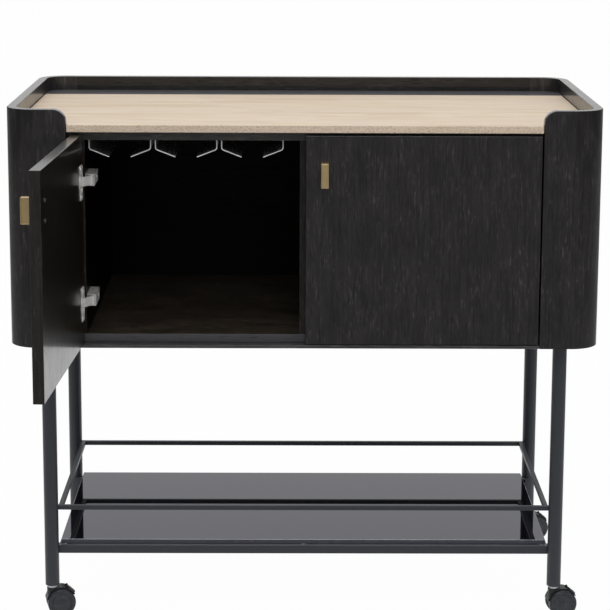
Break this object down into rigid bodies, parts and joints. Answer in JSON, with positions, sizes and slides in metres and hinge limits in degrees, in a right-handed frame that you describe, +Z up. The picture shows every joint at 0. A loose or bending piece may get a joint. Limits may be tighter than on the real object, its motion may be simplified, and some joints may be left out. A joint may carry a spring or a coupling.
{
  "type": "bar cart",
  "caption": "Bar cart: a dark oak cabinet with hinged doors, a rimmed stone worktop and a glass hanger rack, on a steel frame with a railed glass shelf and braked castors.",
  "frame": {"origin": "on the floor, under the middle of the whole cart measured with its left door open", "axes": "+X to the right seen from the front, +Y to the back, +Z up"},
  "size_m": [1.02, 0.9206, 0.92],
  "materials": {
    "oak": "black-stained open-pore oak, satin lacquer",
    "stone": "honed pale travertine-look slab",
    "brass": "satin brass",
    "nickel": "nickel plated",
    "chrome_rack": "bright chrome",
    "frame_steel": "anthracite powder coat, satin",
    "black_glass": "opaque black tempered glass, polished",
    "castor_plastic": "black nylon",
    "wheel_plastic": "dark grey nylon",
    "zinc": "bright zinc",
    "pale_collar": "white nylon",
    "clear_pad": "clear silicone"
  },
  "bodies": {
    "cart": {"left_side_wrap": "oak", "right_side_wrap": "oak", "back_panel": "oak", "worktop": "stone", "back_ledge": "oak", "top_board": "oak", "floor_panel": "oak", "base_board": "oak", "centre_divider": "oak", "left_inner_side": "oak", "right_inner_side": "oak", "left_hinge_arms": "nickel", "right_hinge_arms": "nickel", "left_hinge_plates": "nickel", "right_hinge_plates": "nickel", "hinge_plate_screws": "nickel", "glass_rack_rails": "chrome_rack", "glass_rack_screws": "zinc", "front_left_leg": "frame_steel", "front_right_leg": "frame_steel", "rear_left_leg": "frame_steel", "rear_right_leg": "frame_steel", "leg_screws": "zinc", "leg_sockets": "pale_collar", "gallery_rail": "frame_steel", "shelf_frame": "frame_steel", "glass_shelf": "black_glass", "shelf_pads": "clear_pad"},
    "left_door": {"left_door": "oak", "left_handle": "brass", "left_door_screws": "nickel", "left_hinge_cups": "nickel"},
    "left_hinge_links": {"left_hinge_links": "nickel"},
    "right_door": {"right_door": "oak", "right_handle": "brass", "right_door_screws": "nickel", "right_hinge_cups": "nickel"},
    "right_hinge_links": {"right_hinge_links": "nickel"},
    "front_left_castor": {"front_left_castor_hood": "castor_plastic", "front_left_castor_pins": "zinc"},
    "front_left_left_wheel": {"front_left_castor_left_wheel": "wheel_plastic"},
    "front_left_right_wheel": {"front_left_castor_right_wheel": "wheel_plastic"},
    "front_left_brake": {"front_left_castor_brake_lever": "castor_plastic"},
    "front_right_castor": {"front_right_castor_hood": "castor_plastic", "front_right_castor_pins": "zinc"},
    "front_right_left_wheel": {"front_right_castor_left_wheel": "wheel_plastic"},
    "front_right_right_wheel": {"front_right_castor_right_wheel": "wheel_plastic"},
    "front_right_brake": {"front_right_castor_brake_lever": "castor_plastic"},
    "rear_left_castor": {"rear_left_castor_hood": "castor_plastic", "rear_left_castor_pins": "zinc"},
    "rear_left_left_wheel": {"rear_left_castor_left_wheel": "wheel_plastic"},
    "rear_left_right_wheel": {"rear_left_castor_right_wheel": "wheel_plastic"},
    "rear_left_brake": {"rear_left_castor_brake_lever": "castor_plastic"},
    "rear_right_castor": {"rear_right_castor_hood": "castor_plastic", "rear_right_castor_pins": "zinc"},
    "rear_right_left_wheel": {"rear_right_castor_left_wheel": "wheel_plastic"},
    "rear_right_right_wheel": {"rear_right_castor_right_wheel": "wheel_plastic"},
    "rear_right_brake": {"rear_right_castor_brake_lever": "castor_plastic"}
  },
  "joints": [
    {"name": "left_door_swing", "type": "hinge", "parent": "cart", "child": "left_door", "pos_m": [-0.3925, -0.06897, 0.514], "axis": [0, 0, 1], "range_deg": [-2, 93]},
    {"name": "left_link_turn", "type": "hinge", "parent": "cart", "child": "left_hinge_links", "pos_m": [-0.3645, -0.04651, 0.514], "axis": [0, 0, 1], "range_deg": [-19.74, 0.91]},
    {"name": "right_door_swing", "type": "hinge", "parent": "cart", "child": "right_door", "pos_m": [0.3925, -0.06897, 0.514], "axis": [0, 0, 1], "range_deg": [0, 95]},
    {"name": "right_link_turn", "type": "hinge", "parent": "cart", "child": "right_hinge_links", "pos_m": [0.3645, -0.04651, 0.514], "axis": [0, 0, 1], "range_deg": [-20.15, 0.5]},
    {"name": "front_left_swivel", "type": "hinge", "parent": "cart", "child": "front_left_castor", "pos_m": [-0.449, -0.01067, 0.057], "axis": [0, 0, 1], "continuous": true},
    {"name": "front_left_left_wheel_roll", "type": "hinge", "parent": "front_left_castor", "child": "front_left_left_wheel", "pos_m": [-0.43493, -0.00716, 0.025], "axis": [-0.2419, 0.9703, 0], "continuous": true},
    {"name": "front_left_right_wheel_roll", "type": "hinge", "parent": "front_left_castor", "child": "front_left_right_wheel", "pos_m": [-0.43493, -0.00716, 0.025], "axis": [-0.2419, 0.9703, 0], "continuous": true},
    {"name": "front_left_brake_press", "type": "hinge", "parent": "front_left_castor", "child": "front_left_brake", "pos_m": [-0.4238, -0.00439, 0.05076], "axis": [-0.2419, 0.9703, 0], "range_deg": [0, 12]},
    {"name": "front_right_swivel", "type": "hinge", "parent": "cart", "child": "front_right_castor", "pos_m": [0.449, -0.01067, 0.057], "axis": [0, 0, 1], "continuous": true},
    {"name": "front_right_left_wheel_roll", "type": "hinge", "parent": "front_right_castor", "child": "front_right_left_wheel", "pos_m": [0.46332, -0.0084, 0.025], "axis": [-0.1564, 0.9877, 0], "continuous": true},
    {"name": "front_right_right_wheel_roll", "type": "hinge", "parent": "front_right_castor", "child": "front_right_right_wheel", "pos_m": [0.46332, -0.0084, 0.025], "axis": [-0.1564, 0.9877, 0], "continuous": true},
    {"name": "front_right_brake_press", "type": "hinge", "parent": "front_right_castor", "child": "front_right_brake", "pos_m": [0.47465, -0.00661, 0.05076], "axis": [-0.1564, 0.9877, 0], "range_deg": [0, 12]},
    {"name": "rear_left_swivel", "type": "hinge", "parent": "cart", "child": "rear_left_castor", "pos_m": [-0.449, 0.39733, 0.057], "axis": [0, 0, 1], "continuous": true},
    {"name": "rear_left_left_wheel_roll", "type": "hinge", "parent": "rear_left_castor", "child": "rear_left_left_wheel", "pos_m": [-0.43513, 0.40157, 0.025], "axis": [-0.2924, 0.9563, 0], "continuous": true},
    {"name": "rear_left_right_wheel_roll", "type": "hinge", "parent": "rear_left_castor", "child": "rear_left_right_wheel", "pos_m": [-0.43513, 0.40157, 0.025], "axis": [-0.2924, 0.9563, 0], "continuous": true},
    {"name": "rear_left_brake_press", "type": "hinge", "parent": "rear_left_castor", "child": "rear_left_brake", "pos_m": [-0.42417, 0.40492, 0.05076], "axis": [-0.2924, 0.9563, 0], "range_deg": [0, 12]},
    {"name": "rear_right_swivel", "type": "hinge", "parent": "cart", "child": "rear_right_castor", "pos_m": [0.449, 0.39733, 0.057], "axis": [0, 0, 1], "continuous": true},
    {"name": "rear_right_left_wheel_roll", "type": "hinge", "parent": "rear_right_castor", "child": "rear_right_left_wheel", "pos_m": [0.46318, 0.40034, 0.025], "axis": [-0.2079, 0.9781, 0], "continuous": true},
    {"name": "rear_right_right_wheel_roll", "type": "hinge", "parent": "rear_right_castor", "child": "rear_right_right_wheel", "pos_m": [0.46318, 0.40034, 0.025], "axis": [-0.2079, 0.9781, 0], "continuous": true},
    {"name": "rear_right_brake_press", "type": "hinge", "parent": "rear_right_castor", "child": "rear_right_brake", "pos_m": [0.4744, 0.40273, 0.05076], "axis": [-0.2079, 0.9781, 0], "range_deg": [0, 12]}
  ],
  "couplings": [
    {"joint": "left_link_turn", "follows": "left_door_swing", "ratio": -0.20686},
    {"joint": "right_link_turn", "follows": "right_door_swing", "ratio": -0.20686}
  ]
}
